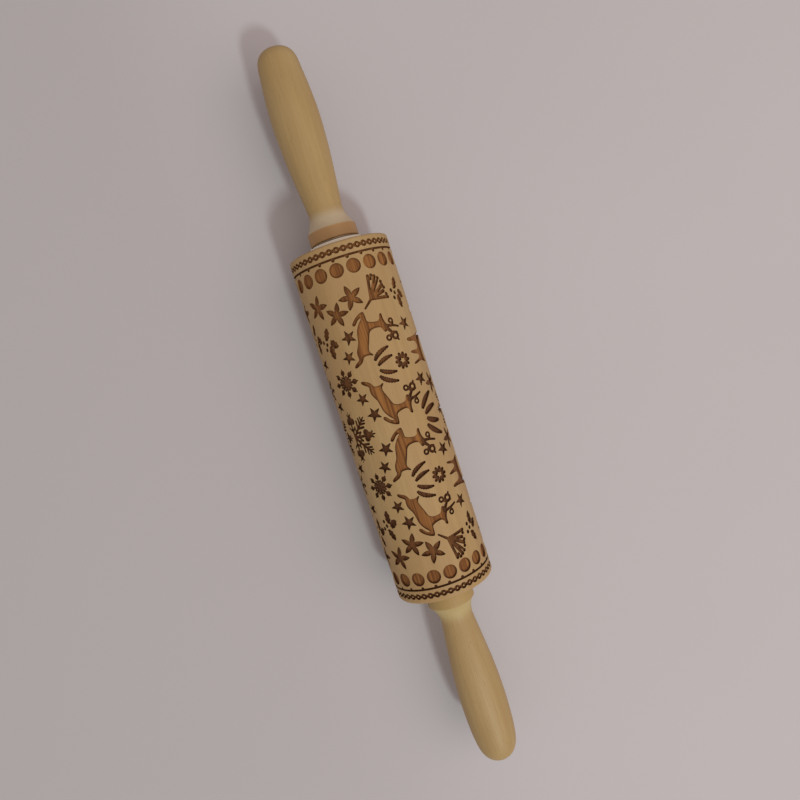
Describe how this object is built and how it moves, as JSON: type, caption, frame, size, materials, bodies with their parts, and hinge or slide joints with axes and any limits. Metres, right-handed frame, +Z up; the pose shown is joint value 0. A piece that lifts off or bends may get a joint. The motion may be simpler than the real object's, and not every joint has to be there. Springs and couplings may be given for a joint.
{
  "type": "embossed rolling pin",
  "caption": "Wooden rolling pin with an engraved, freely turning barrel on a steel axle and two turned handles.",
  "frame": {"origin": "on the table under the middle of the barrel, where the barrel rests", "axes": "+X along the axle towards the right handle, +Z up, +Y across"},
  "size_m": [0.375, 0.05, 0.05],
  "materials": {
    "beech_barrel": "fine sanded bare wood, engraved and lightly burnt",
    "beech_handle": "fine sanded bare wood",
    "white_nylon": "smooth moulded",
    "axle_steel": "drawn bright rod",
    "washer_steel": "flat pressed washer"
  },
  "bodies": {
    "barrel": {"barrel": "beech_barrel", "left_bush": "white_nylon", "right_bush": "white_nylon"},
    "washers": {"left_washer": "washer_steel", "right_washer": "washer_steel"},
    "handle_set": {"axle_rod": "axle_steel", "left_handle": "beech_handle", "right_handle": "beech_handle"}
  },
  "joints": [
    {"name": "end_float", "type": "slide", "parent": "barrel", "child": "washers", "axis": [1, 0, 0], "range_m": [-0.0005, 0.0005]},
    {"name": "barrel_spin", "type": "hinge", "parent": "washers", "child": "handle_set", "pos_m": [0, 0, 0.025], "axis": [1, 0, 0], "continuous": true}
  ]
}
